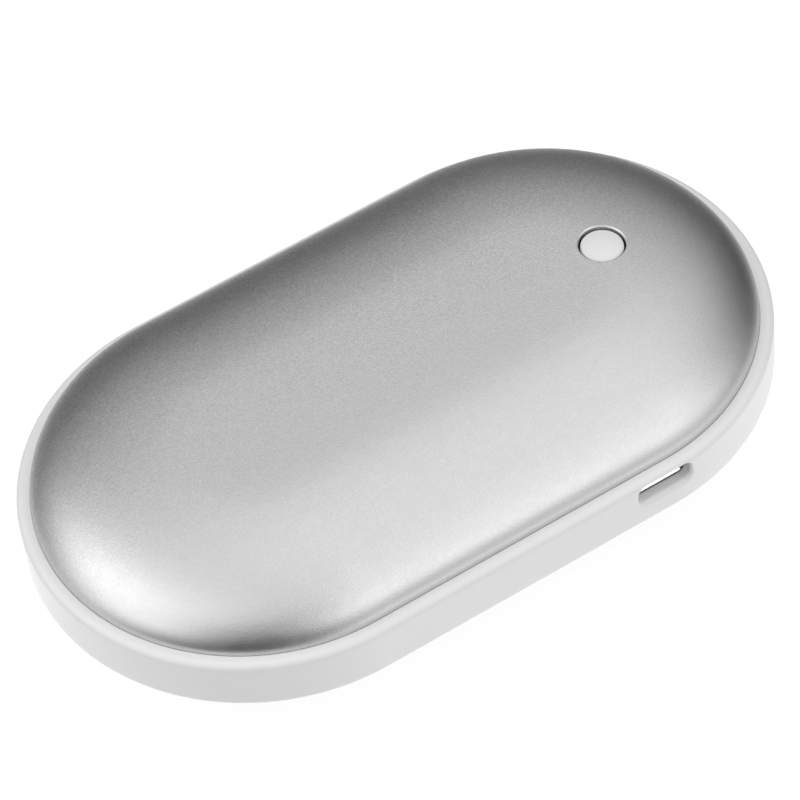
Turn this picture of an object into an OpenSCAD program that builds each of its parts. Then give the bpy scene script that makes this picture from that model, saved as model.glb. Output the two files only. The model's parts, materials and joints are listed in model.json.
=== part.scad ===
// Rechargeable pebble hand warmer: two domed aluminium heating shells on a
// white plastic band, with one button and one micro-B charging socket.
// Millimetres, +Z up, +X along the length towards the button end.
// The origin is the centre of the footprint, on the surface it lies on.

/* [Body] */
// Overall length
body_l = 100; // [98:0.5:104]
// Overall width
body_w = 58.6; // [58:0.2:60]
// Overall thickness over both domes
body_t = 22.8; // [22.4:0.1:23.6]
// Height of the white band
band_h = 7.8; // [7.6:0.1:8.0]
// Edge radius of the band
band_fillet = 1.0; // [0.6:0.1:1.2]

/* [Aluminium shells] */
// Step from the band's outer wall in to the shell
seam_inset = 1.75; // [1.6:0.05:1.9]
// Sheet thickness
shell_t = 0.8; // [0.6:0.05:0.9]
// Depth of the shell's rim inside the band
skirt_h = 0.5; // [0.4:0.05:0.5]
// Roundness of the dome, 2 is an ellipse, higher is boxier
crown_p = 3; // [2.6:0.1:3.4]
// Radius of the flat field that the warmer rests on
flat_r = 9; // [7:0.5:11]

/* [Button] */
// Distance of the button from the middle
button_x = 30.7; // [30:0.1:31.5]
// Diameter of the hole in the shell
button_hole_d = 6.0; // [5.9:0.05:6.2]
// Width of the bright chamfer round the hole
button_chamfer = 0.16; // [0.1:0.02:0.24]
// Diameter of the button
button_d = 5.5; // [5.3:0.05:5.6]
// Full travel of the button
button_travel = 0.5; // [0.3:0.05:0.6]

/* [Charging socket] */
// Distance of the socket from the middle
port_x = 19.5; // [18.8:0.1:20]
// Width of the opening in the band
port_w = 7.8; // [7.7:0.05:8.0]
// Height of the opening in the band
port_h = 3.2; // [3.1:0.05:3.2]

/* [Hidden] */
$fn = 64;

R0 = body_w / 2;                  // outer radius of the round ends
LC = (body_l - body_w) / 2;       // distance of the end centres from the middle
RS = R0 - seam_inset;             // outer radius of the shells at the seam
DOME = (body_t - band_h) / 2;     // rise of each dome over the flat field
ZB = DOME;                        // lower edge of the band
ZT = DOME + band_h;               // upper edge of the band
MID = body_t / 2;
T0 = asin(pow(flat_r / RS, crown_p / 2));
H = DOME / cos(T0);               // rise that the crown would have with no flat field
SEG = 16;

// Board and screw levels
PCB_Z = 10.7;
PCB_T = 1.0;
PCB_TOP = PCB_Z + PCB_T;
LUG_A = 50;
LUG_R = 22.0;
LUG_X = LC + LUG_R * cos(LUG_A);
LUG_Y = LUG_R * sin(LUG_A);
LUG_Z0 = 9.0;
RIB_R = 26.0;
CELL = [51, 39, 6.6];
CELL_X0 = -30;

// ---------- shared shapes ----------

// Sweeps a half section, x outwards from the long axis and y up, round the stadium outline.
module sweep() {
    translate([LC, 0, 0]) rotate([0, 0, -90]) rotate_extrude(angle = 180) children();
    translate([-LC, 0, 0]) rotate([0, 0, 90]) rotate_extrude(angle = 180) children();
    translate([-LC, 0, 0]) rotate([90, 0, 90]) linear_extrude(height = 2 * LC) children();
    mirror([0, 1, 0]) translate([-LC, 0, 0]) rotate([90, 0, 90]) linear_extrude(height = 2 * LC) children();
}

// The same for a section that reaches the long axis.
module sweep_full() {
    translate([LC, 0, 0]) rotate([0, 0, -90]) rotate_extrude(angle = 180) children();
    translate([-LC, 0, 0]) rotate([0, 0, 90]) rotate_extrude(angle = 180) children();
    translate([-LC, 0, 0]) rotate([90, 0, 90]) linear_extrude(height = 2 * LC) {
        children();
        mirror([1, 0, 0]) children();
    }
}

// A flat plate with the stadium outline.
module plate(r, z, h) {
    for (s = [-1, 1]) translate([s * LC, 0, z]) cylinder(r = r, h = h);
    translate([-LC, -r, z]) cube([2 * LC, 2 * r, h]);
}

// Turns a piece made for the upper half into its lower twin.
module flip() translate([0, 0, body_t]) mirror([0, 0, 1]) children();

module at_corners(xs = [-1, 1]) for (sx = xs, sy = [-1, 1]) translate([sx * LUG_X, sy * LUG_Y, 0]) children();

// Points of the dome's section, moved inwards by off, from angle a to angle b.
function crown_n(t) = let (n = [H * sin(t), RS * (2 / crown_p) * pow(sin(t), 2 / crown_p - 1) * cos(t)]) n / norm(n);
function step_a(i) = T0 + (90 - T0) * i / SEG;
function crown(off, a, b, n) = [for (i = [0 : n]) let (t = a + (b - a) * i / n, m = crown_n(t))
    [RS * pow(sin(t), 2 / crown_p) - off * m[0], min(H * cos(t), DOME) - off * m[1]]];
function rev(p) = [for (i = [len(p) - 1 : -1 : 0]) p[i]];
function up(p, z) = [for (q = p) [q[0], q[1] + z]];
function arc(cx, cy, r, a, b, n) = [for (i = [0 : n]) let (t = a + (b - a) * i / n) [cx + r * cos(t), cy + r * sin(t)]];

// A round wire through a list of points, with a bend of radius r at each inner point.
function unit(v) = v / norm(v);
function bend_t(p, i, r) = i <= 0 || i >= len(p) - 1 ? 0 : r * tan(acos(unit(p[i] - p[i - 1]) * unit(p[i + 1] - p[i])) / 2);
module wire(p, d, r = 2) {
    for (i = [0 : len(p) - 2]) {
        u = unit(p[i + 1] - p[i]);
        a = p[i] + u * bend_t(p, i, r);
        b = p[i + 1] - u * bend_t(p, i + 1, r);
        translate(a) rotate([0, acos(u[2]), abs(u[2]) > 0.9999 ? 0 : atan2(u[1], u[0])]) cylinder(d = d, h = norm(b - a), $fn = 24);
        if (i > 0) {
            w = unit(p[i] - p[i - 1]);
            z = unit(cross(w, u));
            x = cross(w, z);
            c = p[i] - w * bend_t(p, i, r) - x * r;
            multmatrix([[x[0], w[0], z[0], c[0]], [x[1], w[1], z[1], c[1]], [x[2], w[2], z[2], c[2]], [0, 0, 0, 1]])
                rotate_extrude(angle = acos(w * u)) translate([r, 0]) circle(d = d, $fn = 24);
        }
    }
}

// A slot with corners of radius r, cut along Y.
module slot_y(w, h, r, y0, y1) {
    for (sx = [-1, 1], sz = [-1, 1]) translate([sx * (w / 2 - r), y0, sz * (h / 2 - r)]) rotate([-90, 0, 0]) cylinder(r = r, h = y1 - y0);
    translate([-(w / 2 - r), y0, -h / 2]) cube([w - 2 * r, y1 - y0, h]);
    translate([-w / 2, y0, -(h / 2 - r)]) cube([w, y1 - y0, h - 2 * r]);
}

// A pan-head screw, head up, its seat at z = 0.
module pan_screw(d, head_d, head_h, l) {
    difference() {
        union() {
            translate([0, 0, -l]) cylinder(d = d, h = l + 0.2, $fn = 32);
            cylinder(d = head_d, h = head_h, $fn = 32);
        }
        translate([-head_d * 0.3, -0.25, head_h - 0.5]) cube([head_d * 0.6, 0.5, 1]);
        translate([-0.25, -head_d * 0.3, head_h - 0.5]) cube([0.5, head_d * 0.6, 1]);
    }
}

// ---------- outside ----------

module shell_section() {
    polygon(concat(
        [[0, ZT + DOME]], up(crown(0, T0, 90, SEG), ZT), [[RS, ZT - skirt_h], [RS - shell_t, ZT - skirt_h]],
        up(rev(crown(shell_t, T0, 90, SEG)), ZT), [[0, ZT + DOME - shell_t]]));
}

module top_shell() color("silver") difference() {
    sweep_full() shell_section();
    translate([button_x, 0, ZT]) cylinder(d = button_hole_d, h = 20);
    translate([button_x, 0, body_t - 0.05 - button_chamfer])
        cylinder(r1 = button_hole_d / 2, r2 = button_hole_d / 2 + 2 * button_chamfer, h = 2 * button_chamfer);
}

module bottom_shell() color("silver") flip() sweep_full() shell_section();

module band_section() {
    f = band_fillet;
    rb = RS + 0.1;
    pocket = skirt_h + 0.1;
    polygon(concat(
        [[rb, ZB]], arc(R0 - f, ZB + f, f, -90, 0, 8), arc(R0 - f, ZT - f, f, 0, 90, 8), [[rb, ZT]],
        [[rb, ZT - pocket], [RIB_R, ZT - pocket], [RIB_R, ZB + pocket], [rb, ZB + pocket]]));
}

module mid_band() color("white") difference() {
    union() {
        sweep() band_section();
        // four lugs that both frames screw to
        at_corners() difference() {
            union() {
                translate([0, 0, LUG_Z0]) cylinder(r = 3, h = body_t - 2 * LUG_Z0);
            }
            translate([0, 0, 0]) cylinder(d = 2.0, h = body_t, $fn = 32);
        }
        for (sx = [-1, 1], sy = [-1, 1]) translate([sx * LC, 0, LUG_Z0 + 0.6]) rotate([0, 0, sy * (sx > 0 ? LUG_A : 180 - LUG_A)])
            translate([LUG_R + 1.5, -2.2, 0]) cube([RIB_R - LUG_R - 1.2, 4.4, body_t - 2 * LUG_Z0 - 1.2]);
    }
    // opening for the plug, and the pocket that the socket and the board edge sit in
    translate([port_x, 0, PCB_TOP + 1.3]) slot_y(port_w, port_h, 1.1, -R0 - 1, -R0 + 1.75);
    translate([port_x - 3.95, -R0 + 1.7, PCB_Z - 0.1]) cube([7.9, 6.2, PCB_T + 3.0]);
    translate([port_x - 4.9, -R0 + 2.55, PCB_Z - 0.15]) cube([9.8, 6, PCB_T + 0.3]);
}

// ---------- inner frames ----------

module tray_section() {
    // floor, sloping corner and wall, under the dome and inside the band
    polygon([[0, 3.05], [21.4, 3.05], [24.0, 5.1], [24.0, 9.0], [22.9, 9.0], [22.9, 5.6], [21.2, 3.95], [0, 3.95]]);
}

module frame_bosses() at_corners() {
    difference() {
        translate([0, 0, 5.3]) cylinder(r = 3, h = 9.0 - 5.3);
        translate([0, 0, 0]) cylinder(d = 4.2, h = 7.6);
        translate([0, 0, 0]) cylinder(d = 2.2, h = 12, $fn = 32);
    }
}

module frame_blank() {
    difference() {
        sweep_full() tray_section();
        at_corners() translate([0, 0, 0]) cylinder(d = 5.9, h = 12);
    }
    frame_bosses();
}

module lower_frame() color("dimgray") {
    difference() {
        union() {
            frame_blank();
            // posts for the circuit board
            for (p = [[26, -13.5], [26, 13.5], [40.5, 0]]) translate([p[0], p[1], 3.7]) cylinder(d = 4.6, h = PCB_Z - 3.7);
            // end stop for the battery
            translate([CELL_X0 + CELL[0] + 0.35, 15.6, 3.5]) cube([1.1, 4, 4]);
            translate([CELL_X0 - 1.5, -8, 3.5]) cube([1.1, 16, 4]);
        }
        for (p = [[26, -13.5], [26, 13.5], [40.5, 0]]) translate([p[0], p[1], 5.2]) cylinder(d = 1.7, h = 8, $fn = 32);
        // passage for the lower heater's leads, and room under the socket
        translate([23.6, 4.2, 2]) cube([4.4, 5.2, 3]);
        translate([port_x - 5.2, -R0, PCB_Z - 1.9]) cube([10.4, 12, 6]);
    }
}

module upper_frame() color("dimgray") {
    difference() {
        union() {
            flip() frame_blank();
            // guide tube of the button
            translate([button_x, 0, 15.6]) cylinder(d = 10.2, h = 19.3 - 15.6);
        }
        translate([button_x, 0, 15]) cylinder(d = 8.0, h = 3.85);
        translate([button_x, 0, 15]) cylinder(d = 5.9, h = 8);
        translate([23.6, 4.2, 18]) cube([3.4, 5.2, 3]);
        translate([23.6, -5.4, 18]) cube([3.4, 2.8, 3]);
        translate([port_x - 5.2, -R0, PCB_TOP - 1]) cube([10.4, 12, 4.3]);
    }
}

module lower_frame_screws() color("gainsboro") at_corners() translate([0, 0, 7.6]) rotate([180, 0, 0]) pan_screw(1.9, 3.6, 1.3, 3.3);
module upper_frame_screws() color("gainsboro") flip() lower_frame_screws();

// Rings of double-sided tape that hold the shells on the frames.
module tape_section() {
    p = up(crown(shell_t + 0.01, step_a(4), step_a(6), 2), ZT);
    polygon(concat(p, [[p[2][0], body_t - 3.0], [p[0][0], body_t - 3.0]]));
}
module shell_tape_top() color("wheat") difference() {
    sweep() tape_section();
    translate([22.5, 3.2, 15]) cube([5.6, 7.2, 10]);
    at_corners() cylinder(d = 5.9, h = 30);
}
module shell_tape_bottom() color("wheat") flip() shell_tape_top();

// ---------- heating ----------

// Etched foil film bonded inside each shell.
module film_section(th) {
    polygon(concat([[0, ZT + DOME - shell_t - 0.01]], up(crown(shell_t + 0.01, T0, step_a(3), 3), ZT),
        up(rev(crown(shell_t + th, T0, step_a(3), 3)), ZT), [[0, ZT + DOME - shell_t - th]]));
}
module film_blank() intersection() {
    sweep_full() film_section(0.2);
    translate([-60, -30, 10]) cube([82, 60, 20]);
}
module heater_film_top() color("darkorange") {
    film_blank();
    // tail that carries the leads
    translate([21.5, 4.9, body_t - shell_t - 0.5]) cube([4.6, 4, 0.28]);
}
module heater_film_bottom() color("darkorange") flip() heater_film_top();

module foam_blank() for (x = [-16, 0]) translate([x - 7, -8.5, 19.85]) cube([14, 17, body_t - shell_t - 0.25 - 19.85]);
module foam_pad_top() color("lightgray") foam_blank();
module foam_pad_bottom() color("lightgray") flip() foam_blank();

LEAD_TOP = body_t - shell_t - 0.5;
module heater_leads_top() color("firebrick") for (y = [5.9, 7.9])
    translate([25.2, y, PCB_TOP + 0.02]) cylinder(d = 0.9, h = LEAD_TOP - PCB_TOP - 0.04);
module heater_leads_bottom() color("firebrick") for (y = [5.9, 7.9])
    translate([25.2, y, body_t - LEAD_TOP + 0.02]) cylinder(d = 0.9, h = PCB_Z - body_t + LEAD_TOP - 0.04);

// Temperature sensor taped under the upper film, with its leads down to the board.
module thermistor() color("black") translate([19.4, -4, body_t - shell_t - 0.25 - 1.0]) rotate([0, 90, 0]) cylinder(d = 1.4, h = 2.4, $fn = 32);
module thermistor_leads() color("gainsboro") for (y = [-4.35, -3.65])
    wire([[21.82, y, body_t - shell_t - 1.25], [25.2, y, body_t - shell_t - 1.25], [25.2, y, PCB_TOP + 0.02]], 0.4, 1);

// ---------- battery ----------

module cell() {
    l = CELL[0];
    w = CELL[1];
    h = CELL[2];
    // pouch with rounded long edges and a thin sealing lip at the terminal end
    translate([CELL_X0, -w / 2 + 1.2, 0]) cube([l - 3, w - 2.4, h]);
    for (s = [-1, 1]) for (z = [1.2, h - 1.2]) translate([CELL_X0, s * (w / 2 - 1.2), z]) rotate([0, 90, 0]) cylinder(r = 1.2, h = l - 3, $fn = 32);
    translate([CELL_X0, -w / 2, 1.2]) cube([l - 3, w, h - 2.4]);
    translate([CELL_X0 + l - 3.2, -w / 2 + 1, h / 2 - 0.2]) cube([3.2, w - 2, 0.4]);
}
CELL_Z1 = 4.25;
CELL_Z2 = CELL_Z1 + CELL[2] + 0.4;
module battery_cell_lower() color("lightsteelblue") translate([0, 0, CELL_Z1]) cell();
module battery_cell_upper() color("lightsteelblue") translate([0, 0, CELL_Z2]) cell();
module battery_tape() color("khaki") {
    for (x = [-22, -6, 10]) {
        translate([x - 4, -14, CELL_Z1 - 0.29]) cube([8, 28, 0.28]);
        translate([x - 4, -14, CELL_Z1 + CELL[2] + 0.02]) cube([8, 28, 0.36]);
    }
}
TAB_X = CELL_X0 + CELL[0];
module battery_tabs() color("silver") for (y = [-6, 6], z = [CELL_Z1, CELL_Z2]) translate([TAB_X - 0.02 + 0.04, y - 2, z + CELL[2] / 2 - 0.08]) {
    cube([0.42, 4, 0.16]);
}
module battery_protection_board() color("darkgreen") translate([TAB_X + 0.46, -12, CELL_Z1 + 0.4]) difference() {
    cube([0.8, 24, 13]);
    for (y = [6, 18]) translate([-1, y - 0.6, 6]) cube([3, 1.2, 1.2]);
}

BOARD_EDGE = 22.6;
HDR = [25.8, -8.0];
module lead(y) wire([[TAB_X + 1.28, y, 7.2], [TAB_X + 2.35, y, 7.2], [TAB_X + 2.35, y, PCB_TOP + 2.2], [HDR[0] - 1.02, y, PCB_TOP + 2.2]], 1.0, 0.8);
module battery_lead_positive() color("red") lead(HDR[1] + 1);
module battery_lead_negative() color("black") lead(HDR[1] - 1);
module battery_header() color("ivory") translate([HDR[0], HDR[1], PCB_TOP]) difference() {
    translate([0, -2.9, 0]) cube([4.4, 5.8, 4.2]);
    translate([-1, -2.3, 0.7]) cube([4.6, 4.6, 3.0]);
}
module battery_plug() color("white") translate([HDR[0], HDR[1], PCB_TOP]) difference() {
    translate([-1, -2.2, 0.8]) cube([4.4, 4.4, 2.8]);
    for (y = [-1, 1]) translate([1.5, y, 2.4]) cube([4, 0.7, 0.7], center = true);
}

// ---------- electronics ----------

module board_outline() {
    intersection() {
        translate([LC, 0]) circle(r = 25);
        union() {
            translate([BOARD_EDGE, -20.4]) square([8.4, 40.8]);
            translate([BOARD_EDGE, -12.4]) square([24, 24.8]);
        }
    }
    translate([port_x - 4.6, -R0 + 2.75]) square([9.2, 6.25]);
}
module circuit_board() color("darkgreen") difference() {
    translate([0, 0, PCB_Z]) linear_extrude(height = PCB_T) board_outline();
    for (p = [[26, -13.5], [26, 13.5], [40.5, 0]]) translate([p[0], p[1], PCB_Z - 1]) cylinder(d = 2.1, h = 4, $fn = 32);
    translate([BOARD_EDGE - 1, HDR[1] - 2, PCB_Z - 1]) cube([2.4, 4, 4]);
}
module board_screws() color("gainsboro") for (p = [[26, -13.5], [26, 13.5], [40.5, 0]]) translate([p[0], p[1], PCB_TOP]) pan_screw(1.6, 3.2, 1.1, 4.4);

// Micro-B socket: folded metal shell with its wide side down and flared lips, tongue and five contacts.
PY = -R0 + 1.75;
function mouth(e) = [[-3.75 + e, 2.6 - e], [3.75 - e, 2.6 - e], [3.75 - e, 1.1 + e * 0.4], [2.75 - e * 0.6, e], [-2.75 + e * 0.6, e], [-3.75 + e, 1.1 + e * 0.4]];
module lip(w) translate([-w / 2, 0, 0]) rotate([90, 0, 90]) linear_extrude(height = w)
    polygon([[0.05, -0.15], [0.14, -0.15], [0.42, 0], [0.6, 0.3], [0.46, 0.3], [0.32, 0.22], [0.06, -0.1]]);
module seat() translate([port_x, PY, PCB_TOP + 2.6]) mirror([0, 0, 1]) children();
module usb_socket_shell() color("silver") seat() {
    difference() {
        rotate([90, 0, 0]) translate([0, 0, -5.8]) linear_extrude(height = 5.4) polygon(mouth(0));
        rotate([90, 0, 0]) translate([0, 0, -5.5]) linear_extrude(height = 6) polygon(mouth(0.3));
    }
    lip(5.2);
    translate([0, 0, 2.6]) mirror([0, 0, 1]) lip(6.8);
}
module usb_socket_tongue() color("black") seat() {
    rotate([90, 0, 0]) translate([0, 0, -5.48]) linear_extrude(height = 1.3) polygon(mouth(0.34));
    translate([-2.0, 1.2, 1.5]) cube([4.0, 3.2, 0.6]);
}
module usb_socket_contacts() color("gold") seat() for (i = [-2 : 2]) translate([i * 0.65 - 0.15, 1.3, 1.36]) cube([0.3, 2.8, 0.12]);

// Tactile switch under the button.
SW_TOP = PCB_TOP + 3.5;
module switch_body() color("black") translate([button_x, 0, PCB_TOP]) difference() {
    translate([-3, -3, 0]) cube([6, 6, 3.2]);
    translate([0, 0, 0.7]) cylinder(d = 4.4, h = 3);
}
module switch_cover() color("silver") translate([button_x, 0, PCB_TOP + 3.22]) difference() {
    translate([-3, -3, 0]) cube([6, 6, 0.28]);
    translate([0, 0, -1]) cylinder(d = 3.7, h = 3);
}
module switch_terminals() color("silver") for (sx = [-1, 1], sy = [-1, 1]) translate([button_x + sx * 3.9 - 0.85, sy * 2.2 - 0.35, PCB_TOP + 0.01]) cube([1.7, 0.7, 0.25]);
module switch_dome() color("silver") translate([button_x, 0, PCB_TOP + 0.72]) difference() {
    cylinder(r1 = 2.1, r2 = 1.2, h = 0.55, $fn = 48);
    translate([0, 0, -0.15]) cylinder(r1 = 2.1, r2 = 1.2, h = 0.55, $fn = 48);
}
module switch_plunger() color("ivory") translate([button_x, 0, 0]) {
    translate([0, 0, PCB_TOP + 1.9]) cylinder(d = 3.5, h = 3.1);
    translate([0, 0, PCB_TOP + 1.9]) cylinder(d = 4.2, h = 0.7);
}

// Button: domed cap on a barrel, a flange that keeps it in, and a stem on the switch.
CAP_EDGE = body_t - 0.45;
CAP_RISE = 0.35;
CAP_R = (pow(button_d / 2, 2) + pow(CAP_RISE, 2)) / (2 * CAP_RISE);
module button_cap() color("white") translate([button_x, 0, 0]) {
    intersection() {
        translate([0, 0, 18.4]) cylinder(d = button_d, h = 5);
        translate([0, 0, CAP_EDGE + CAP_RISE - CAP_R]) sphere(r = CAP_R, $fn = 180);
    }
    translate([0, 0, 17.75]) cylinder(d = 7.7, h = 0.85);
    translate([0, 0, PCB_TOP + 5.0]) cylinder(d = 3.0, h = 17.8 - PCB_TOP - 5.0);
}

module status_leds() color("lightyellow") for (p = [[24.4, 1.6], [36.3, 1.4], [36.3, -1.4]]) translate([p[0] - 0.4, p[1] - 0.8, PCB_TOP]) cube([0.8, 1.6, 0.6]);
module soic(w, l, h) {
    translate([-w / 2, -l / 2, 0.1]) cube([w, l, h]);
    for (s = [-1, 1], i = [-1.5 : 1.5]) translate([s * (w / 2 + 0.45) - 0.45, i * 1.27 - 0.2, 0]) cube([0.9, 0.4, 0.25]);
}
module controller_chip() color("black") translate([38.5, -7.5, PCB_TOP]) rotate([0, 0, 90]) soic(3.9, 4.9, 1.4);
module charger_chip() color("black") translate([26, -17.6, PCB_TOP]) rotate([0, 0, 90]) soic(3.0, 4.9, 1.2);
module power_inductor() color("dimgray") translate([37.6, 7.6, PCB_TOP]) {
    translate([-2.6, -2.6, 0]) cube([5.2, 5.2, 0.8]);
    cylinder(d = 4.4, h = 2.6);
    translate([0, 0, 2.4]) cylinder(d = 5.0, h = 0.6);
}
module capacitors() color("tan") for (p = [[30.2, 8.8], [30.2, 11.2], [31.8, -9.6], [24.4, 17.6], [27.6, 17.6], [43.2, -4.4]])
    translate([p[0] - 1, p[1] - 0.6, PCB_TOP]) cube([2, 1.2, 1.1]);
module heater_transistors() color("black") for (p = [[29.2, 15.2], [42.6, 5.4]]) translate([p[0] - 1.2, p[1] - 0.7, PCB_TOP]) cube([2.4, 1.4, 1.0]);

top_shell();
bottom_shell();
mid_band();
upper_frame();
lower_frame();
upper_frame_screws();
lower_frame_screws();
shell_tape_top();
shell_tape_bottom();
heater_film_top();
heater_film_bottom();
foam_pad_top();
foam_pad_bottom();
heater_leads_top();
heater_leads_bottom();
thermistor();
thermistor_leads();
battery_cell_lower();
battery_cell_upper();
battery_tape();
battery_tabs();
battery_protection_board();
battery_lead_positive();
battery_lead_negative();
battery_plug();
battery_header();
circuit_board();
board_screws();
usb_socket_shell();
usb_socket_tongue();
usb_socket_contacts();
switch_body();
switch_cover();
switch_terminals();
switch_dome();
switch_plunger();
button_cap();
status_leds();
controller_chip();
charger_chip();
power_inductor();
capacitors();
heater_transistors();
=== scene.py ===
import json
import math

import bpy
import numpy as np
from mathutils import Matrix, Vector
from mathutils.geometry import delaunay_2d_cdt


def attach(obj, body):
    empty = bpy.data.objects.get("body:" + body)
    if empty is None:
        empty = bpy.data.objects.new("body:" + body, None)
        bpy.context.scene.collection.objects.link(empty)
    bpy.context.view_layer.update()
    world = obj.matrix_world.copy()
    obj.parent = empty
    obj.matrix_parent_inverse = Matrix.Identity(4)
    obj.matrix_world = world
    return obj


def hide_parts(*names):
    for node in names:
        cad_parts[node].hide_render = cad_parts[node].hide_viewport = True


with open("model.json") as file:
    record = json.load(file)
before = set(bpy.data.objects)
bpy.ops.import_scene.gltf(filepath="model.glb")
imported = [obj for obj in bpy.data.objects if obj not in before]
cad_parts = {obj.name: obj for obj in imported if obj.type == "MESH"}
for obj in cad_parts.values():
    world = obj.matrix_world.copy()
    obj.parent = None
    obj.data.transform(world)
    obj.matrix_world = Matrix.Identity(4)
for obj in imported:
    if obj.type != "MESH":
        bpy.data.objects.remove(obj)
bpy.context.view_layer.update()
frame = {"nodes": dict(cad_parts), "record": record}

scene = bpy.context.scene
MM = 0.001

# ---------------------------------------------------------------- sizes, mm
R0 = 29.3            # outer radius of the round ends
LC = 20.7            # end centres from the middle
INSET = 1.75
RS = R0 - INSET      # shell outline
BT = 22.8
BAND_H = 7.8
DOME = (BT - BAND_H) / 2
ZB, ZT = DOME, DOME + BAND_H
FIL = 1.0
SHELL_T = 0.8
SKIRT = 0.5
CROWN_P = 3.0
FLAT_R = 9.0
T0 = math.asin((FLAT_R / RS) ** (CROWN_P / 2))
CROWN_H = DOME / math.cos(T0)
BTN_X, BTN_HOLE, BTN_D, CHAMFER = 30.7, 6.0, 5.48, 0.14
PORT_X, PORT_W, PORT_H, PORT_R, PORT_Z, PORT_DEPTH = 19.5, 7.8, 3.2, 1.1, 13.0, 1.68


# ---------------------------------------------------------------- mesh help
def make(name, verts, faces, normals=None, mats=(), smooth=True, flip_check=False):
    """verts in mm, faces as index tuples, normals per vertex (or None for plain smooth shading)."""
    me = bpy.data.meshes.new(name)
    me.from_pydata([tuple(float(c) * MM for c in v) for v in verts], [], [tuple(int(i) for i in f) for f in faces])
    me.validate(verbose=False)
    me.update()
    me.polygons.foreach_set("use_smooth", [smooth] * len(me.polygons))
    if normals is not None:
        me.normals_split_custom_set_from_vertices([tuple(float(c) for c in n) for n in normals])
    ob = bpy.data.objects.new(name, me)
    scene.collection.objects.link(ob)
    for m in mats:
        me.materials.append(m)
    return ob


class Builder:
    """Collects vertices with their own normals, and faces."""

    def __init__(self):
        self.v, self.n, self.f, self.m = [], [], [], []

    def add(self, p, n):
        self.v.append(tuple(p))
        self.n.append(tuple(n))
        return len(self.v) - 1

    def strip(self, a, b, closed=True, mat=0):
        """Quads between two rows of vertex indices; the row b lies to the left of a seen from outside."""
        k = len(a)
        for i in range(k if closed else k - 1):
            j = (i + 1) % k
            self.f.append((a[i], a[j], b[j], b[i]))
            self.m.append(mat)

    def finish(self, name, mats, mirror_z=False):
        v = np.array(self.v, float)
        n = np.array(self.n, float)
        f = self.f
        if mirror_z:
            v[:, 2] = BT - v[:, 2]
            n[:, 2] = -n[:, 2]
            f = [tuple(reversed(q)) for q in f]
        ob = make(name, v, f, n, mats)
        if len(mats) > 1 and len(ob.data.polygons) == len(self.m):
            ob.data.polygons.foreach_set("material_index", self.m)
        return ob


def stadium_ring(r, na=96, ns=46):
    """Plan points (x, y) and outward directions round the stadium outline of half-width r, anticlockwise."""
    pts, nrm = [], []
    for i in range(na + 1):
        t = math.radians(-90 + 180 * i / na)
        pts.append((LC + r * math.cos(t), r * math.sin(t)))
        nrm.append((math.cos(t), math.sin(t)))
    for i in range(1, ns):
        pts.append((LC - 2 * LC * i / ns, r))
        nrm.append((0.0, 1.0))
    for i in range(na + 1):
        t = math.radians(90 + 180 * i / na)
        pts.append((-LC + r * math.cos(t), r * math.sin(t)))
        nrm.append((math.cos(t), math.sin(t)))
    for i in range(1, ns):
        pts.append((-LC + 2 * LC * i / ns, -r))
        nrm.append((0.0, -1.0))
    return pts, nrm


def ring_rows(b, r, z, nr, nz, na=96, ns=46):
    """One ring at half-width r and height z whose section normal is (nr outward, nz up)."""
    p, d = stadium_ring(r, na, ns)
    k = math.hypot(nr, nz)
    return [b.add((x, y, z), (dx * nr / k, dy * nr / k, nz / k)) for (x, y), (dx, dy) in zip(p, d)]


# ---------------------------------------------------------------- the crown
def crown(t):
    """Section point (r, z above the band) and its normal at parameter t."""
    s = max(math.sin(t), 1e-9)
    r = RS * s ** (2 / CROWN_P)
    z = CROWN_H * math.cos(t)
    n = (CROWN_H * s, RS * (2 / CROWN_P) * s ** (2 / CROWN_P - 1) * math.cos(t))
    k = math.hypot(*n)
    return r, z, n[0] / k, n[1] / k


def soft_top(z):
    """Rounds the crown off into the flat field, so that no edge shows where they meet."""
    w = 0.16
    d = z - DOME
    if d > w:
        return DOME, 0.0
    if d < -w:
        return z, 1.0
    return DOME - (w - d) ** 2 / (4 * w), (w - d) / (2 * w)


def crown_at_r(r):
    """Height over the band and normal (outward, up) of the crown at distance r from the long axis."""
    r = max(r, 1e-6)
    t = math.asin(min((r / RS) ** (CROWN_P / 2), 1.0))
    _, z, nr, nz = crown(t)
    h, g = soft_top(z)
    sl = g * nr / max(nz, 1e-9)
    k = math.hypot(sl, 1.0)
    return h, sl / k, 1.0 / k


def axis_r(x, y):
    cx = max(-LC, min(LC, x))
    dx, dy = x - cx, y
    r = math.hypot(dx, dy)
    return r, (dx / r, dy / r) if r > 1e-9 else (0.0, 0.0)


def top_point(x, y):
    r, d = axis_r(x, y)
    h, nr, nz = crown_at_r(r)
    return ZT + h, (d[0] * nr, d[1] * nr, nz)


def in_poly_stadium(x, y, r):
    return axis_r(x, y)[0] < r


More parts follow.
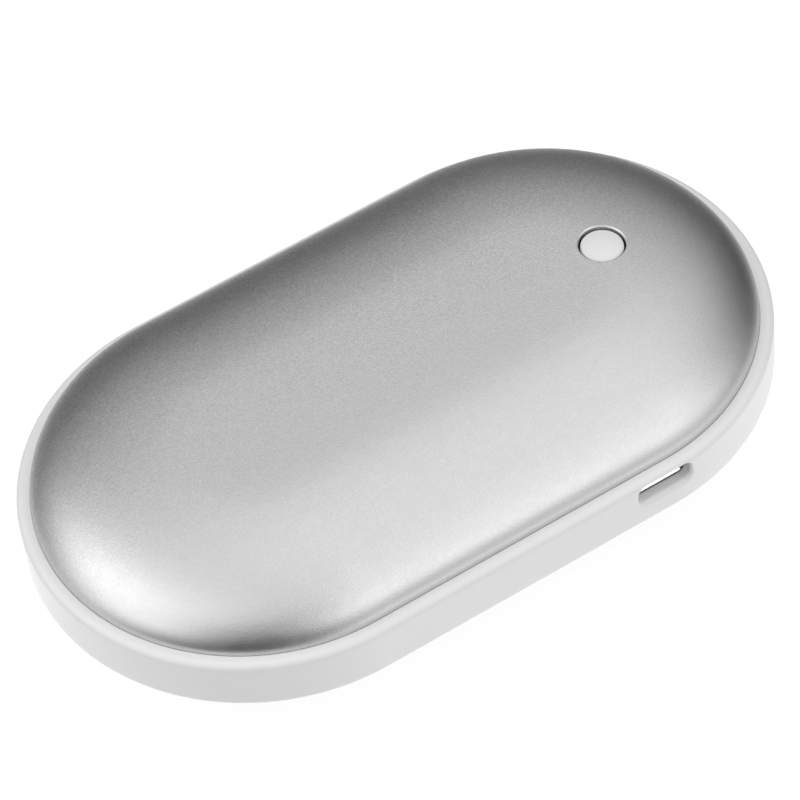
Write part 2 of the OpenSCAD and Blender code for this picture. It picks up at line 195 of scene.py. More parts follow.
def build_shell(name, hole, mats, mirror_z):
    b = Builder()
    na, ns = 96, 46
    t_in = math.asin((16.0 / RS) ** (CROWN_P / 2))
    # rings from the seam up to half-width 16
    params = [math.pi / 2 - (math.pi / 2 - t_in) * (i / 26) ** 1.25 for i in range(27)]
    outer, inner = [], []
    for t in params:
        r, z, nr, nz = crown(t)
        outer.append(ring_rows(b, r, ZT + z, nr, nz, na, ns))
    for a, c in zip(outer[:-1], outer[1:]):
        b.strip(a, c)
    for t in params:
        r, z, nr, nz = crown(t)
        inner.append(ring_rows(b, r - SHELL_T * nr, ZT + z - SHELL_T * nz, -nr, -nz, na, ns))
    for a, c in zip(inner[:-1], inner[1:]):
        b.strip(c, a)
    # the rim that drops into the band
    p0 = ring_rows(b, RS, ZT, 1, 0, na, ns)
    p1 = ring_rows(b, RS, ZT - SKIRT + 0.12, 1, 0, na, ns)
    p1b = ring_rows(b, RS - 0.12, ZT - SKIRT, 0, -1, na, ns)
    p2 = ring_rows(b, RS - SHELL_T, ZT - SKIRT, 0, -1, na, ns)
    p3 = ring_rows(b, RS - SHELL_T, ZT - SKIRT, -1, 0, na, ns)
    p4 = ring_rows(b, RS - SHELL_T, ZT, -1, 0, na, ns)
    for a, c in ((p1, p0), (p1b, p1), (p2, p1b), (p4, p3)):
        b.strip(a, c)
    # the middle, triangulated round the button hole
    edge_r = crown(params[-1])[0]
    pts, idx_o, idx_i = [], [], []
    p, _ = stadium_ring(edge_r, na, ns)
    pts += p
    idx_o += outer[-1]
    idx_i += inner[-1]
    n_edge = len(p)
    loops = [list(range(n_edge))]
    rh = BTN_HOLE / 2 + CHAMFER
    nh = 96

    def put(x, y):
        z, n = top_point(x, y)
        pts.append((x, y))
        idx_o.append(b.add((x, y, z), n))
        idx_i.append(b.add((x, y, z - SHELL_T / n[2]), (-n[0], -n[1], -n[2])))
        return len(pts) - 1

    if hole:
        hole_loop = []
        for i in range(nh):
            t = 2 * math.pi * i / nh
            hole_loop.append(put(BTN_X + rh * math.cos(t), rh * math.sin(t)))
        loops.append(hole_loop)
        for k, (rr, m) in enumerate(((rh + 0.35, 72), (rh + 0.9, 56), (rh + 1.7, 48), (rh + 2.7, 40))):
            for i in range(m):
                t = 2 * math.pi * (i + 0.5 * (k % 2)) / m
                put(BTN_X + rr * math.cos(t), rr * math.sin(t))
    for r_, m_a, m_s in ((15.0, 48, 42), (14.0, 44, 40), (13.0, 42, 40), (12.0, 40, 40), (11.0, 38, 38), (10.4, 38, 38), (9.8, 36, 38), (9.2, 36, 38), (8.6, 34, 36), (8.0, 32, 36), (7.0, 28, 30), (5.0, 18, 24), (3.0, 12, 20), (1.0, 6, 16)):
        p, _ = stadium_ring(r_, m_a, m_s)
        for x, y in p:
            if hole and math.hypot(x - BTN_X, y) < rh + 3.4:
                continue
            put(x, y)
    edges = []
    for lp in loops:
        edges += [(lp[i], lp[(i + 1) % len(lp)]) for i in range(len(lp))]
    res = delaunay_2d_cdt([Vector(q) for q in pts], edges, [], 0, 1e-6)
    rv, rf, ov = res[0], res[2], res[3]
    back = [o[0] if o else None for o in ov]
    assert all(k is not None for k in back)
    for f in rf:
        f = [back[i] for i in f]
        cx = sum(pts[i][0] for i in f) / len(f)
        cy = sum(pts[i][1] for i in f) / len(f)
        if hole and math.hypot(cx - BTN_X, cy) < rh * math.cos(math.pi / nh) - 1e-6:
            continue
        a = sum(pts[f[i]][0] * pts[f[(i + 1) % len(f)]][1] - pts[f[(i + 1) % len(f)]][0] * pts[f[i]][1] for i in range(len(f)))
        if a < 0:
            f = f[::-1]
        b.f.append(tuple(idx_o[i] for i in f)); b.m.append(0)
        b.f.append(tuple(idx_i[i] for i in reversed(f))); b.m.append(0)
    if hole:
        # bright chamfer, then the wall of the hole
        rows = []
        for dr, dz, nr, nz in ((CHAMFER, 0.0, -0.707, 0.707), (0.0, CHAMFER, -0.707, 0.707)):
            row = []
            for i in range(nh):
                t = 2 * math.pi * i / nh
                c, s = math.cos(t), math.sin(t)
                x, y = BTN_X + (BTN_HOLE / 2 + dr) * c, (BTN_HOLE / 2 + dr) * s
                z, _ = top_point(BTN_X + rh * c, rh * s)
                row.append(b.add((x, y, z - dz), (c * nr, s * nr, nz)))
            rows.append(row)
        b.strip(rows[0], rows[1], mat=1)
        w0, w1 = [], []
        for i in range(nh):
            t = 2 * math.pi * i / nh
            c, s = math.cos(t), math.sin(t)
            z, n = top_point(BTN_X + rh * c, rh * s)
            x, y = BTN_X + BTN_HOLE / 2 * c, BTN_HOLE / 2 * s
            w0.append(b.add((x, y, z - CHAMFER), (-c, -s, 0)))
            w1.append(b.add((x, y, z - SHELL_T), (-c, -s, 0)))
        b.strip(w0, w1, mat=1)
        # close the underside between the hole's wall and the inner surface
        u0 = [b.add(b.v[i], (0, 0, -1)) for i in w1]
        u1 = [b.add(b.v[idx_i[i]], (0, 0, -1)) for i in loops[1]]
        b.strip(u0, u1, mat=1)
    return b.finish(name, mats, mirror_z)


# ---------------------------------------------------------------- the band
def wall_frame(s):
    """Plan point on the -Y side's centreline and its outward direction, at arc length s measured along the outer wall from x = 0 towards +X."""
    if s <= LC:
        return (s, 0.0), (0.0, -1.0)
    t = (s - LC) / R0
    return (LC, 0.0), (math.sin(t), -math.cos(t))


def slot_outline(grow, n_arc=10, n_mid=12):
    """Points round the slot in (s, z), anticlockwise seen from outside, grown by grow(direction)."""
    hw, hh = PORT_W / 2 - PORT_R, PORT_H / 2 - PORT_R
    out = []
    for q, (sx, sz) in enumerate(((1, -1), (1, 1), (-1, 1), (-1, -1))):
        for i in range(n_arc + 1):
            t = math.radians(-90 + 90 * q + 90 * i / n_arc)
            r = PORT_R + grow(math.cos(t), math.sin(t))
            out.append((PORT_X + sx * hw + r * math.cos(t), PORT_Z + sz * hh + r * math.sin(t)))
        a = math.radians(90 * q)
        r = PORT_R + grow(math.cos(a), math.sin(a))
        if q % 2:
            out += [(PORT_X + sx * hw * (1 - 2 * i / n_mid), PORT_Z + sz * (hh + r)) for i in range(1, n_mid)]
        else:
            out += [(PORT_X + sx * (hw + r), PORT_Z + sz * hh * (1 - 2 * i / 4)) for i in range(1, 4)]
    return out


def mouth_r(c, s):
    """Radius of the rounded mouth: small along the top, wide along the bottom and the right."""
    return 0.15 + 0.6 * ((1 - s) / 2) ** 2 + 0.18 * max(0.0, c) ** 2


def slot_gap(s, z):
    """Distance of a point of the wall outside the slot."""
    return math.hypot(max(0.0, abs(s - PORT_X) - PORT_W / 2 + PORT_R), max(0.0, abs(z - PORT_Z) - PORT_H / 2 + PORT_R)) - PORT_R


def build_band(name, mats):
    b = Builder()
    na, ns = 96, 46
    lip = RS + 0.016
    edge = 0.04

    def section_outer(z):
        """Radius and normal of the outer wall at height z, with the fillets."""
        if z > ZT - FIL:
            a = math.asin(min(1.0, (z - (ZT - FIL)) / FIL))
        elif z < ZB + FIL:
            a = -math.asin(min(1.0, (ZB + FIL - z) / FIL))
        else:
            a = 0.0
        return R0 - FIL + FIL * math.cos(a), math.cos(a), math.sin(a)

    # rows of the outer wall, from the lower ledge to the upper one
    z_rows = []
    for i in range(13):
        a = math.radians(-90 + 90 * i / 12)
        z_rows.append((R0 - FIL + FIL * math.cos(a), ZB + FIL + FIL * math.sin(a), math.cos(a), math.sin(a)))
    wall_z = [9.4, 10.3, 11.0, 11.6, 12.2, 12.8, 13.4, 13.9]
    for z in wall_z:
        z_rows.append((R0, z, 1.0, 0.0))
    for i in range(13):
        a = math.radians(90 * i / 12)
        z_rows.append((R0 - FIL + FIL * math.cos(a), ZT - FIL + FIL * math.sin(a), math.cos(a), math.sin(a)))
    rows = [ring_rows(b, r, z, nr, nz, na, ns) for r, z, nr, nz in z_rows]
    zs = [z for _, z, _, _ in z_rows]
    ring_pts, _ = stadium_ring(R0, na, ns)
    # arc length of each ring point along the -Y side
    S = []
    for i, (x, y) in enumerate(ring_pts):
        if i <= na and i < na // 2:
            S.append(LC + R0 * math.radians(180 * i / na))
        elif i > 2 * na + ns - 1 + 1:
            S.append(x)
        else:
            S.append(None)
    S = [s if s is not None else -999 for s in S]
    S[0] = LC
    total = len(ring_pts)
    order = [i for i in range(total) if S[i] > -50]
    order.sort(key=lambda i: S[i])
    left = max(i for i in order if S[i] < 14.6 and i > na) if any(S[i] < 14.6 for i in order) else None
    cols = [i for i in order if 14.0 <= S[i] <= 25.2]
    # window in rows
    r_lo = max(k for k in range(len(zs)) if zs[k] <= 10.8)
    r_hi = min(k for k in range(len(zs)) if zs[k] >= ZT - FIL + FIL * math.sin(math.radians(52)))
    col_set = set(cols[:-1])
    for k in range(len(rows) - 1):
        for i in range(total):
            j = (i + 1) % total
            if r_lo <= k < r_hi and i in col_set and j in set(cols):
                continue
            b.f.append((rows[k][i], rows[k][j], rows[k + 1][j], rows[k + 1][i])); b.m.append(0)

    def wall_point(s, z, depth=0.0):
        c, d = wall_frame(s)
        r, nr, nz = section_outer(z)
        x, y = c[0] + d[0] * r, c[1] + d[1] * r
        if depth:
            y += depth
        return (x, y, z), (d[0] * nr, d[1] * nr, nz)

    # window filled with triangles round the slot
    pts, idx = [], []
    border = []
    for k in range(r_lo, r_hi + 1):
        border.append((cols[-1], k))
    for i in reversed(cols[:-1]):
        border.append((i, r_hi))
    for k in range(r_hi - 1, r_lo - 1, -1):
        border.append((cols[0], k))
    for i in cols[1:-1]:
        border.append((i, r_lo))
    for i, k in border:
        pts.append((S[i], zs[k])); idx.append(rows[k][i])
    n_border = len(pts)
    ring0 = slot_outline(mouth_r)
    first = len(pts)
    for s, z in ring0:
        p, n = wall_point(s, z)
        pts.append((s, z)); idx.append(b.add(p, n))
    loop = list(range(first, len(pts)))
    for g in (0.26, 0.62):
        for s, z in slot_outline(lambda c, q: mouth_r(c, q) + g, 7, 9):
            if z < zs[r_hi] - 0.12 and z > zs[r_lo] + 0.12:
                p, n = wall_point(s, z)
                pts.append((s, z)); idx.append(b.add(p, n))
    for z in zs[r_lo + 1:r_hi]:
        for i in cols[1:-1]:
            s = S[i]
            if slot_gap(s, z) > 1.5:
                p, n = wall_point(s, z)
                pts.append((s, z)); idx.append(b.add(p, n))
    edges = [(i, (i + 1) % n_border) for i in range(n_border)]
    edges += [(loop[i], loop[(i + 1) % len(loop)]) for i in range(len(loop))]
    res = delaunay_2d_cdt([Vector(q) for q in pts], edges, [], 0, 1e-6)
    back = [o[0] if o else None for o in res[3]]
    for f in res[2]:
        f = [back[i] for i in f]
        cx = sum(pts[i][0] for i in f) / len(f)
        cz = sum(pts[i][1] for i in f) / len(f)
        if all(first <= i < first + len(ring0) for i in f) and slot_gap(cx, cz) < 0.7:
            continue
        if not (S[cols[0]] <= cx <= S[cols[-1]] and zs[r_lo] <= cz <= zs[r_hi]):
            continue
        a = sum(pts[f[i]][0] * pts[f[(i + 1) % len(f)]][1] - pts[f[(i + 1) % len(f)]][0] * pts[f[i]][1] for i in range(len(f)))
        if a < 0:
            f = f[::-1]
        b.f.append(tuple(idx[i] for i in f)); b.m.append(0)
    # rounded mouth of the slot, its walls, and the step to the pocket behind
    prev = [idx[i] for i in loop]
    o0 = slot_outline(lambda c, s: 0.0)
    out_dir = []
    for (s0, z0), (s1, z1) in zip(o0, slot_outline(lambda c, s: 1.0)):
        out_dir.append((s1 - s0, z1 - z0))
    steps = 8
    for k in range(1, steps + 1):
        a = math.radians(90 * k / steps)
        row = []
        for (s, z), (ds, dz) in zip(o0, out_dir):
            rd = mouth_r(ds, dz)
            grow = rd * (1 - math.sin(a))
            s, z = s + ds * grow, z + dz * grow
            p, n = wall_point(s, z, rd * (1 - math.cos(a)))
            c, d = wall_frame(s)
            inward = (-ds * -d[1], -ds * 0.0, -dz)
            nn = (n[0] * math.cos(a) - ds * math.sin(a), n[1] * math.cos(a), n[2] * math.cos(a) - dz * math.sin(a))
            m = math.sqrt(sum(q * q for q in nn))
            row.append(b.add(p, tuple(q / m for q in nn)))
        b.strip(prev, row)
        prev = row
    def plain_row(y, nrm):
        row = []
        for (s, z), (ds, dz) in zip(o0, out_dir):
            p, _ = wall_point(s, z)
            n = {"in": (-ds, 0.0, -dz), "back": (0.0, 1.0, 0.0)}[nrm]
            row.append(b.add((p[0], y, z), n))
        return row
    def box_row(y, nrm):
        """The same points moved out to the square pocket that the socket sits in."""
        row = []
        hw, hh = PORT_W / 2 - PORT_R, PORT_H / 2 - PORT_R
        for (s, z), (ds, dz) in zip(o0, out_dir):
            k = 1 / max(abs(ds), abs(dz))
            side = s - PORT_X
            if abs(side) >= hw - 1e-6:
                side = math.copysign(hw + PORT_R * abs(ds) * k, side) if abs(ds) > 1e-6 else side
            zz = z
            if abs(z - PORT_Z) >= hh - 1e-6 and abs(dz) > 1e-6:
                zz = PORT_Z + math.copysign(hh, dz) + PORT_R * dz * k
            if zz < PORT_Z:
                zz = PORT_Z + (zz - PORT_Z) * 1.5
            n = {"in": (-ds, 0.0, -dz), "back": (0.0, 1.0, 0.0)}[nrm]
            row.append(b.add((PORT_X + side * 3.95 / 3.9, y, zz), n))
        return row
    y1 = -R0 + PORT_DEPTH
    y2 = -26.0
    r1 = plain_row(y1, "in")
    b.strip(prev, r1)
    r1b = plain_row(y1, "back")
    r2b = box_row(y1, "back")
    b.strip(r1b, r2b)
    r2 = box_row(y1, "in")
    r3 = box_row(y2, "in")
    b.strip(r2, r3)

    # ledges and the inner side
    pocket = SKIRT + 0.1
    def ring(r, z, nr, nz):
        return ring_rows(b, r, z, nr, nz, na, ns)
    up = [ring(R0 - FIL, ZT, 0, 1), ring(lip + edge, ZT, 0, 1), ring(lip, ZT - edge, -1, 0), ring(lip, ZT - pocket, -1, 0)]
    b.strip(up[0], up[1]); b.strip(up[1], up[2]); b.strip(up[2], up[3])
    f0 = ring(lip, ZT - pocket, 0, 1); f1 = ring(26.0, ZT - pocket, 0, 1)
    b.strip(f0, f1)
    dn = [ring(R0 - FIL, ZB, 0, -1), ring(lip + edge, ZB, 0, -1), ring(lip, ZB + edge, -1, 0), ring(lip, ZB + pocket, -1, 0)]
    b.strip(dn[1], dn[0]); b.strip(dn[2], dn[1]); b.strip(dn[3], dn[2])
    g0 = ring(lip, ZB + pocket, 0, -1); g1 = ring(26.0, ZB + pocket, 0, -1)
    b.strip(g1, g0)
    i1 = ring(26.0, ZT - pocket, -1, 0); i0 = ring(26.0, ZB + pocket, -1, 0)
    # inner wall with an opening for the pocket
    sc = 26.0
    inner_pts, _ = stadium_ring(sc, na, ns)
    for i in range(total):
        j = (i + 1) % total
        if i in col_set and j in set(cols):
            continue
        b.f.append((i1[i], i1[j], i0[j], i0[i])); b.m.append(0)
    pts, idx = [], []
    def flat(i):
        return inner_pts[i][0] if i > na else LC + (inner_pts[i][0] - LC)
    for i in cols:
        pts.append((flat(i), ZB + pocket)); idx.append(i0[i])
    for i in reversed(cols):
        pts.append((flat(i), ZT - pocket)); idx.append(i1[i])
    n_border = len(pts)
    first = len(pts)
    for k in r3:
        x, y, z = b.v[k]
        # the pocket's rim lies on the inner wall
        yy = -26.0 if x <= LC else -math.sqrt(26.0 ** 2 - (x - LC) ** 2)
        b.v[k] = (x, yy, z)
        pts.append((x, z)); idx.append(b.add((x, yy, z), (0, 1, 0)))
    loop = list(range(first, len(pts)))
    edges = [(i, (i + 1) % n_border) for i in range(n_border)]
    edges += [(loop[i], loop[(i + 1) % len(loop)]) for i in range(len(loop))]
    res = delaunay_2d_cdt([Vector(q) for q in pts], edges, [], 0, 1e-6)
    back = [o[0] if o else None for o in res[3]]
    for f in res[2]:
        f = [back[i] for i in f]
        if all(i >= first for i in f):
            continue
        a = sum(pts[f[i]][0] * pts[f[(i + 1) % len(f)]][1] - pts[f[(i + 1) % len(f)]][0] * pts[f[i]][1] for i in range(len(f)))
        if a > 0:
            f = f[::-1]
        b.f.append(tuple(idx[i] for i in f)); b.m.append(0)
    return b.finish(name, mats)


# ---------------------------------------------------------------- the button
def build_button(name, mats):
    b = Builder()
    n = 96
    rc = BTN_D / 2
    edge_r = 0.3
    h0, n0 = top_point(BTN_X, 0.0)
    # the cap follows the slope of the crown round it
    slope_x = -n0[0] / n0[2]

    def lathe(r, z, nr, nz, tilt=0.0):
        row = []
        for i in range(n):
            t = 2 * math.pi * i / n
            c, s = math.cos(t), math.sin(t)
            row.append(b.add((BTN_X + r * c, r * s, z + tilt * slope_x * r * c), (c * nr, s * nr, nz)))
        return row
    edge_z = h0 - 0.36
    rise = 0.26
    prof = []
    k = 14
    for i in range(k + 1):
        u = i / k
        r = (rc - edge_r) * (1 - u) + 0.02 * u
        q = r / (rc - edge_r)
        z = edge_z + rise * (1 - q ** 2.3)
        g = rise * 2.3 * q ** 1.3 / (rc - edge_r)
        m = math.hypot(g, 1)
        prof.append((r, z, g / m, 1 / m))
    g_edge = rise * 2.3 / (rc - edge_r)
    a0 = math.atan2(1.0, g_edge)
    rim = []
    for i in range(7):
        a = a0 * i / 6
        rim.append((rc - edge_r + edge_r * math.cos(a), edge_z - edge_r * math.sin(a0) + edge_r * math.sin(a), math.cos(a), math.sin(a)))
    rows = [lathe(rc, 18.6, 1, 0)]
    rows.append(lathe(rim[0][0], rim[0][1], 1, 0, 1.0))
    for r, z, nr, nz in rim[1:]:
        rows.append(lathe(r, z, nr, nz, 1.0))
    for r, z, nr, nz in prof[1:]:
        rows.append(lathe(r, z, nr, nz, 1.0))
    for a, c in zip(rows[:-1], rows[1:]):
        b.strip(a, c)
    b.f.append(tuple(rows[-1])); b.m.append(0)
    # flange, stem
    def hard(a, c):
        b.strip(a, c)
    hard(lathe(3.85, 18.6, 0, 1), lathe(rc, 18.6, 0, 1))
    hard(lathe(3.85, 17.75, 1, 0), lathe(3.85, 18.6, 1, 0))
    hard(lathe(1.5, 17.75, 0, -1), lathe(3.85, 17.75, 0, -1))
    hard(lathe(1.5, 16.7, 1, 0), lathe(1.5, 17.75, 1, 0))
    last = lathe(1.5, 16.7, 0, -1)
    b.f.append(tuple(reversed(last))); b.m.append(0)
    return b.finish(name, mats)


# ---------------------------------------------------------------- materials
class Mat:
    def __init__(self, name):
        self.m = bpy.data.materials.new(name)
        self.m.use_nodes = True
        self.t = self.m.node_tree
        self.t.nodes.clear()
        self.out = self.t.nodes.new("ShaderNodeOutputMaterial")
        self.p = self.t.nodes.new("ShaderNodeBsdfPrincipled")
        self.t.links.new(self.p.outputs["BSDF"], self.out.inputs["Surface"])
        self.co = self.t.nodes.new("ShaderNodeTexCoord").outputs["Object"]

    def set(self, **kw):
        for k, v in kw.items():
            self.p.inputs[k.replace("_", " ")].default_value = v
        return self

    def noise(self, scale, detail=2.0, rough=0.5, vec=None):
        n = self.t.nodes.new("ShaderNodeTexNoise")
        n.inputs["Scale"].default_value = scale
        n.inputs["Detail"].default_value = detail
        n.inputs["Roughness"].default_value = rough
        self.t.links.new(vec or self.co, n.inputs["Vector"])
        return n.outputs["Fac"]

    def ramp(self, fac, stops):
        r = self.t.nodes.new("ShaderNodeValToRGB")
        e = r.color_ramp.elements
        while len(e) < len(stops):
            e.new(0.5)
        for el, (p, c) in zip(e, stops):
            el.position = p
            el.color = (c[0], c[1], c[2], 1) if isinstance(c, (tuple, list)) else (c, c, c, 1)
        self.t.links.new(fac, r.inputs["Fac"])
        return r.outputs["Color"]

    def bump(self, height, strength, distance, normal=None):
        n = self.t.nodes.new("ShaderNodeBump")
        n.inputs["Strength"].default_value = strength
        n.inputs["Distance"].default_value = distance
        self.t.links.new(height, n.inputs["Height"])
        if normal is not None:
            self.t.links.new(normal, n.inputs["Normal"])
        return n.outputs["Normal"]

    def link(self, out, name):
        self.t.links.new(out, self.p.inputs[name])
        return self


def simple(name, color, rough, metallic=0.0, var=0.06, scale=900, bump=0.15, dist=0.00002, coat=0.0):
    """A plain moulded or plated material: slight mottling of the colour and roughness, and a fine surface grain."""
    m = Mat(name)
    m.set(Metallic=metallic)
    if coat:
        m.set(Coat_Weight=coat, Coat_Roughness=0.15)
    f = m.noise(scale, 3.0, 0.55)
    lo = tuple(c * (1 - var) for c in color)
    hi = tuple(min(1.0, c * (1 + var)) for c in color)
    m.link(m.ramp(f, [(0.3, lo), (0.7, hi)]), "Base Color")
    m.link(m.ramp(m.noise(scale * 0.4, 2.0), [(0.3, rough * 0.9), (0.7, min(1.0, rough * 1.1))]), "Roughness")
    m.link(m.bump(m.noise(scale * 4, 2.0), bump, dist), "Normal")
    return m.m


def aluminium():
    m = Mat("shell_aluminium")
    m.set(Metallic=1.0)
    # bead-blasted grain: fine pits of about 0.12 mm, over a softer mottle
    v = m.t.nodes.new("ShaderNodeTexVoronoi")
    v.inputs["Scale"].default_value = 7200
    m.t.links.new(m.co, v.inputs["Vector"])
    fine = m.noise(5200, 2.0, 0.6)
    mix = m.t.nodes.new("ShaderNodeMath"); mix.operation = "ADD"
    m.t.links.new(v.outputs["Distance"], mix.inputs[0])
    m.t.links.new(fine, mix.inputs[1])
    pits = m.bump(mix.outputs[0], 1.0, 0.000028)
    m.link(pits, "Normal")
    # each pit throws the light a little differently; towards +Y, the side away from the socket, the grain's colour
    # contrast and the pits' bump are made stronger as painted sparkle, where the lighting shows the grain most
    split = m.t.nodes.new("ShaderNodeSeparateColor")
    m.t.links.new(v.outputs["Color"], split.inputs[0])
    pos = m.t.nodes.new("ShaderNodeSeparateXYZ")
    m.t.links.new(m.co, pos.inputs[0])
    painted_sparkle_side = m.t.nodes.new("ShaderNodeMapRange")
    m.t.links.new(pos.outputs["Y"], painted_sparkle_side.inputs["Value"])
    for k, val in (("From Min", -0.012), ("From Max", 0.024), ("To Min", 0.0), ("To Max", 1.0)):
        painted_sparkle_side.inputs[k].default_value = val
    # painted sparkle: the pits' bump strength rises from 0.4 at the front to 1.0 towards +Y
    depth = m.t.nodes.new("ShaderNodeMath"); depth.operation = "MULTIPLY_ADD"
    m.t.links.new(painted_sparkle_side.outputs["Result"], depth.inputs[0])
    depth.inputs[1].default_value = 0.6
    depth.inputs[2].default_value = 0.4
    m.t.links.new(depth.outputs[0], pits.node.inputs["Strength"])
    # painted sparkle: narrow grain colour range at the front, wide range towards +Y
    grain_and_painted_sparkle = m.t.nodes.new("ShaderNodeMix")
    grain_and_painted_sparkle.data_type = "RGBA"
    m.t.links.new(painted_sparkle_side.outputs["Result"], grain_and_painted_sparkle.inputs[0])
    m.t.links.new(m.ramp(split.outputs[0], [(0.0, 0.64), (1.0, 0.69)]), grain_and_painted_sparkle.inputs[6])
    m.t.links.new(m.ramp(split.outputs[0], [(0.0, 0.54), (1.0, 0.83)]), grain_and_painted_sparkle.inputs[7])
    m.link(grain_and_painted_sparkle.outputs[2], "Base Color")
    m.link(m.ramp(m.noise(700, 3.0, 0.6), [(0.3, 0.3), (0.7, 0.35)]), "Roughness")
    return m.m


def cut_metal():
    m = Mat("cut_edge")
    m.set(Metallic=1.0)
    m.link(m.ramp(m.noise(3000, 2.0), [(0.3, 0.76), (0.7, 0.82)]), "Base Color")
    m.link(m.ramp(m.noise(2000, 2.0), [(0.3, 0.44), (0.7, 0.5)]), "Roughness")
    m.link(m.bump(m.noise(9000, 1.0), 0.05, 0.000005), "Normal")
    return m.m


def white_plastic(name, base, rough, coat):
    m = Mat(name)
    m.set(Specular_IOR_Level=0.5, Subsurface_Weight=0.0)
    if coat:
        m.set(Coat_Weight=coat, Coat_Roughness=0.12)
    m.link(m.ramp(m.noise(260, 3.0, 0.5), [(0.3, base * 0.985), (0.7, base * 1.0)]), "Base Color")
    m.link(m.ramp(m.noise(1500, 2.0, 0.5), [(0.3, rough * 0.93), (0.7, rough * 1.07)]), "Roughness")
    m.link(m.bump(m.noise(6500, 2.0, 0.5), 0.08, 0.00001), "Normal")
    return m.m


M_ALU = aluminium()
M_CUT = cut_metal()
M_BAND = white_plastic("band_plastic", 0.86, 0.38, 0.0)
M_BTN = white_plastic("button_plastic", 0.82, 0.25, 0.5)

LOOK = {
    "frame_plastic": simple("frame_plastic", (0.11, 0.11, 0.115), 0.5),
    "screw_steel": simple("screw_steel", (0.62, 0.61, 0.58), 0.3, 1.0),
    "adhesive_tape": simple("adhesive_tape", (0.72, 0.64, 0.47), 0.6),
    "heater_film": simple("heater_film", (0.62, 0.27, 0.04), 0.25, 0.0, 0.12, 400, coat=0.4),
    "foam": simple("foam", (0.42, 0.42, 0.43), 0.95, 0.0, 0.18, 2500, 0.6, 0.0001),
    "lead_red": simple("lead_red", (0.55, 0.035, 0.03), 0.42),
    "lead_black": simple("lead_black", (0.025, 0.025, 0.025), 0.42),
    "black_plastic": simple("black_plastic", (0.025, 0.025, 0.028), 0.45),
    "tinned_metal": simple("tinned_metal", (0.7, 0.7, 0.68), 0.32, 1.0),
    "cell_foil": simple("cell_foil", (0.55, 0.57, 0.6), 0.36, 0.8, 0.08, 500),
    "battery_tape": simple("battery_tape", (0.62, 0.38, 0.06), 0.28, 0.0, 0.1, 500, coat=0.3),
    "board_green": simple("board_green", (0.02, 0.16, 0.07), 0.3, 0.0, 0.1, 700, coat=0.3),
    "connector_ivory": simple("connector_ivory", (0.8, 0.75, 0.6), 0.4),
    "socket_steel": simple("socket_steel", (0.97, 0.965, 0.95), 0.2, 1.0, 0.02),
    "contact_gold": simple("contact_gold", (0.83, 0.62, 0.22), 0.2, 1.0),
    "led_lens": simple("led_lens", (0.88, 0.86, 0.7), 0.2, coat=0.5),
    "ferrite": simple("ferrite", (0.06, 0.06, 0.065), 0.55, 0.2),
    "ceramic": simple("ceramic", (0.5, 0.36, 0.22), 0.5),
}
NODE_SLOT = {s["node"]: s["material_slot"] for s in frame["record"]["subparts"]}
for node, ob in frame["nodes"].items():
    mat = {"shell_aluminium": M_ALU, "band_plastic": M_BAND, "button_plastic": M_BTN}.get(NODE_SLOT[node]) or LOOK[NODE_SLOT[node]]
    ob.data.materials.clear()
    ob.data.materials.append(mat)

# ---------------------------------------------------------------- pieces
top = build_shell("top_shell_skin", True, [M_ALU, M_CUT], False)
bottom = build_shell("bottom_shell_skin", False, [M_ALU], True)
band = build_band("band_ring", [M_BAND])
button = build_button("button_dome", [M_BTN])
for piece, node, body, slot in (
    (top, "top_shell", "casing", "shell_aluminium"),
    (bottom, "bottom_shell", "casing", "shell_aluminium"),
    (band, "mid_band", "casing", "band_plastic"),
    (button, "button_cap", "button", "button_plastic"),
):
    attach(piece, body)
    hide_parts(node)

# ---------------------------------------------------------------- floor
def floor():
    """A wide pale sweep under the object."""
    n = 48
    verts, faces = [(0.0, 0.0, 0.0)], []
    radii = [80, 200, 500, 1400, 4000]
    for r in radii:
        for i in range(n):
            t = 2 * math.pi * i / n
            verts.append((r * math.cos(t), r * math.sin(t), 0.0))
    for i in range(n):
        faces.append((0, 1 + i, 1 + (i + 1) % n))
    for k in range(len(radii) - 1):
        a, c = 1 + k * n, 1 + (k + 1) * n
        for i in range(n):
            j = (i + 1) % n
            faces.append((a + i, c + i, c + j, a + j))
    return make("studio_floor", verts, faces, None, (), True)


fl = floor()
mf = Mat("floor_paper")
mf.link(mf.ramp(mf.noise(3.0, 2.0), [(0.3, 0.345), (0.7, 0.355)]), "Base Color")
mf.set(Roughness=0.9, Specular_IOR_Level=0.1, Emission_Color=(1, 1, 1, 1), Emission_Strength=0.76)
fl.data.materials.append(mf.m)
fl.visible_glossy = False
fl.visible_diffuse = False
fl.visible_shadow = False

# ---------------------------------------------------------------- light
# Soft lights round the object: compass direction (0 is the front, -Y, and 90 is +X), height over the
# horizon, both in degrees, then how narrow the light is and how bright it is at its middle.
SOFT_LIGHTS = [
    (136.2, 62.9, 7.6, 1.13),
    (-64.4, 61.5, 11.5, 0.93),
    (47.8, 54.7, 11.5, 1.08),
    (-124.3, 41.9, 11.5, 1.61),
    (12.2, 26.6, 11.5, 1.35),
    (-79.3, 21.8, 11.5, 1.05),
    (51.5, 15.3, 11.5, 0.85),
    (-107.4, -0.4, 7.17, 0.91),
    (16.5, -31.1, 11.5, 1.11),
    (61.8, -39.8, 11.5, 0.96),
    (168.4, -68.8, 4.37, 1.39),
    (170.7, -85.5, 4.64, 1.39),
]


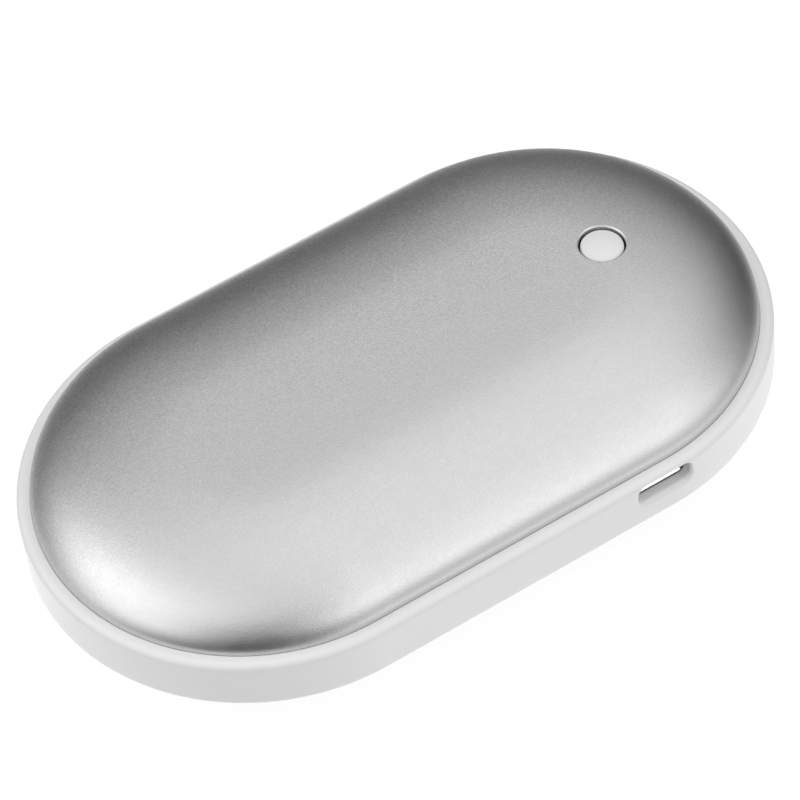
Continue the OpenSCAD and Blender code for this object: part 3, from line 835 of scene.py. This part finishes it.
def studio(lights, ambient=0.0):
    w = bpy.data.worlds.new("studio")
    w.use_nodes = True
    t = w.node_tree
    bg = t.nodes["Background"]
    bg.inputs["Color"].default_value = (1, 1, 1, 1)
    co = t.nodes.new("ShaderNodeTexCoord")
    d = t.nodes.new("ShaderNodeVectorMath")
    d.operation = "NORMALIZE"
    t.links.new(co.outputs["Generated"], d.inputs[0])

    def node(op, x, y=None):
        n = t.nodes.new("ShaderNodeMath")
        n.operation = op
        for k, v in ((0, x), (1, y)):
            if v is None:
                continue
            if isinstance(v, (int, float)):
                n.inputs[k].default_value = v
            else:
                t.links.new(v, n.inputs[k])
        return n.outputs[0]
    total = ambient
    for az, el, width, power in lights:
        az, el = math.radians(az), math.radians(el)
        m = t.nodes.new("ShaderNodeVectorMath")
        m.operation = "DOT_PRODUCT"
        m.inputs[1].default_value = (width * math.sin(az) * math.cos(el), -width * math.cos(az) * math.cos(el), width * math.sin(el))
        t.links.new(d.outputs[0], m.inputs[0])
        lobe = node("EXPONENT", node("SUBTRACT", m.outputs["Value"], width - math.log(power)))
        total = node("ADD", lobe, total)
    t.links.new(total, bg.inputs["Strength"])
    return w


scene.world = studio(SOFT_LIGHTS, 0.000)

# ---------------------------------------------------------------- camera
AZ, EL, ROLL = math.radians(-27.7846), math.radians(50.4923), math.radians(-6.468)
DIST, F_PX, OX, OY = 525.3254, 4250.1075, 0.3616, 14.7343
back = Vector((math.sin(AZ) * math.cos(EL), -math.cos(AZ) * math.cos(EL), math.sin(EL)))
fwd = -back
right = fwd.cross(Vector((0, 0, 1))).normalized()
up = right.cross(fwd)
r2 = right * math.cos(ROLL) + up * math.sin(ROLL)
u2 = -right * math.sin(ROLL) + up * math.cos(ROLL)
cam_data = bpy.data.cameras.new("photo_camera")
cam = bpy.data.objects.new("photo_camera", cam_data)
scene.collection.objects.link(cam)
loc = back * DIST * MM + Vector((0, 0, BT / 2 * MM))
cam.matrix_world = Matrix(((r2.x, u2.x, back.x, loc.x), (r2.y, u2.y, back.y, loc.y), (r2.z, u2.z, back.z, loc.z), (0, 0, 0, 1)))
cam_data.sensor_width = 36.0
cam_data.lens = F_PX / 800 * 36.0
cam_data.shift_x = -OX / 800
cam_data.shift_y = OY / 800
cam_data.clip_start = 0.01
cam_data.clip_end = 50
scene.camera = cam
scene.view_settings.view_transform = "Standard"
